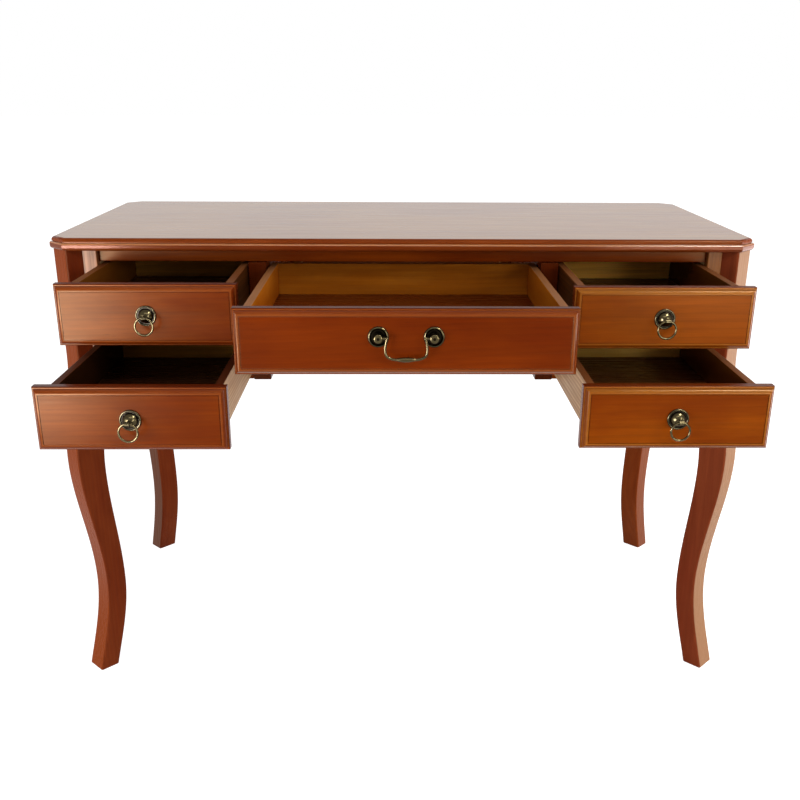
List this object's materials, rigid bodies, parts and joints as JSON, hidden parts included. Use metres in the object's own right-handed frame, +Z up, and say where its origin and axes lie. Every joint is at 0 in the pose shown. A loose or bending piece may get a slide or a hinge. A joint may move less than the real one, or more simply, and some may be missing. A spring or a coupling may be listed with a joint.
{
  "type": "writing desk",
  "caption": "Kneehole writing desk with a canted moulded top, curved diagonal legs and drawers drawn out, with ring pulls and a bail pull.",
  "frame": {"origin": "on the floor, in the middle of the space that the desk takes up with its drawers drawn out as stored", "axes": "+X to the sitter's right along the desk's width, -Y out of the drawer fronts towards the sitter, +Z up"},
  "size_m": [1.1264, 0.7989, 0.762],
  "materials": {
    "cherry_lacquer": "satin lacquer over red-brown stain",
    "desktop_lacquer": "glossy lacquer over red-brown stain",
    "drawer_side_wood": "thin lacquer over pale wood",
    "drawer_inner_wood": "thin lacquer over golden-brown wood",
    "plain_inner_wood": "bare softwood",
    "back_panel_wood": "stained board",
    "antique_brass": "darkened antique brass, rubbed on the edges",
    "steel_screws": "zinc"
  },
  "bodies": {
    "root": {"back_panel_centre": "back_panel_wood", "back_panels": "back_panel_wood", "bottom_rails": "cherry_lacquer", "centre_rail": "cherry_lacquer", "centre_runners": "plain_inner_wood", "corner_blocks": "plain_inner_wood", "desktop": "desktop_lacquer", "inner_stile_left": "cherry_lacquer", "inner_stile_right": "cherry_lacquer", "kickers": "plain_inner_wood", "leg_front_left": "cherry_lacquer", "leg_front_right": "cherry_lacquer", "leg_rear_left": "cherry_lacquer", "leg_rear_right": "cherry_lacquer", "leg_screws": "steel_screws", "lower_runners": "plain_inner_wood", "mid_rails": "cherry_lacquer", "outer_stile_left": "cherry_lacquer", "outer_stile_right": "cherry_lacquer", "pedestal_panel_left": "cherry_lacquer", "pedestal_panel_right": "cherry_lacquer", "side_panel_left": "cherry_lacquer", "side_panel_right": "cherry_lacquer", "top_rail": "cherry_lacquer", "top_screws": "steel_screws", "upper_runners": "plain_inner_wood"},
    "upper_left_drawer": {"upper_left_drawer_back": "drawer_inner_wood", "upper_left_drawer_bottom": "drawer_inner_wood", "upper_left_drawer_front": "cherry_lacquer", "upper_left_drawer_pull": "antique_brass", "upper_left_drawer_sides": "drawer_side_wood"},
    "upper_left_ring": {"upper_left_drawer_ring": "antique_brass"},
    "lower_left_drawer": {"lower_left_drawer_back": "drawer_inner_wood", "lower_left_drawer_bottom": "drawer_inner_wood", "lower_left_drawer_front": "cherry_lacquer", "lower_left_drawer_pull": "antique_brass", "lower_left_drawer_sides": "drawer_side_wood"},
    "lower_left_ring": {"lower_left_drawer_ring": "antique_brass"},
    "upper_right_drawer": {"upper_right_drawer_back": "drawer_inner_wood", "upper_right_drawer_bottom": "drawer_inner_wood", "upper_right_drawer_front": "cherry_lacquer", "upper_right_drawer_pull": "antique_brass", "upper_right_drawer_sides": "drawer_side_wood"},
    "upper_right_ring": {"upper_right_drawer_ring": "antique_brass"},
    "lower_right_drawer": {"lower_right_drawer_back": "drawer_inner_wood", "lower_right_drawer_bottom": "drawer_inner_wood", "lower_right_drawer_front": "cherry_lacquer", "lower_right_drawer_pull": "antique_brass", "lower_right_drawer_sides": "drawer_side_wood"},
    "lower_right_ring": {"lower_right_drawer_ring": "antique_brass"},
    "centre_drawer": {"centre_drawer_back": "drawer_inner_wood", "centre_drawer_bottom": "drawer_inner_wood", "centre_drawer_front": "cherry_lacquer", "centre_drawer_pull_posts": "antique_brass", "centre_drawer_sides": "drawer_side_wood"},
    "centre_bail": {"centre_drawer_bail": "antique_brass"}
  },
  "joints": [
    {"name": "upper_left_slide", "type": "slide", "parent": "root", "child": "upper_left_drawer", "axis": [0, -1, 0], "range_m": [-0.1384, 0.1466]},
    {"name": "upper_right_slide", "type": "slide", "parent": "root", "child": "upper_right_drawer", "axis": [0, -1, 0], "range_m": [-0.1533, 0.1317]},
    {"name": "lower_left_slide", "type": "slide", "parent": "root", "child": "lower_left_drawer", "axis": [0, -1, 0], "range_m": [-0.2665, 0.0185]},
    {"name": "lower_right_slide", "type": "slide", "parent": "root", "child": "lower_right_drawer", "axis": [0, -1, 0], "range_m": [-0.2615, 0.0235]},
    {"name": "centre_slide", "type": "slide", "parent": "root", "child": "centre_drawer", "axis": [0, -1, 0], "range_m": [-0.2654, 0.0196]},
    {"name": "upper_left_ring_swing", "type": "hinge", "parent": "upper_left_drawer", "child": "upper_left_ring", "pos_m": [-0.3685, -0.26812, 0.67475], "axis": [-1, 0, 0], "range_deg": [-34, 165]},
    {"name": "lower_left_ring_swing", "type": "hinge", "parent": "lower_left_drawer", "child": "lower_left_ring", "pos_m": [-0.3685, -0.39622, 0.56225], "axis": [-1, 0, 0], "range_deg": [-34, 165]},
    {"name": "upper_right_ring_swing", "type": "hinge", "parent": "upper_right_drawer", "child": "upper_right_ring", "pos_m": [0.3685, -0.28302, 0.67475], "axis": [-1, 0, 0], "range_deg": [-34, 165]},
    {"name": "lower_right_ring_swing", "type": "hinge", "parent": "lower_right_drawer", "child": "lower_right_ring", "pos_m": [0.3685, -0.39122, 0.56225], "axis": [-1, 0, 0], "range_deg": [-34, 165]},
    {"name": "centre_bail_swing", "type": "hinge", "parent": "centre_drawer", "child": "centre_bail", "pos_m": [0, -0.38812, 0.67685], "axis": [-1, 0, 0], "range_deg": [-12, 165]}
  ]
}
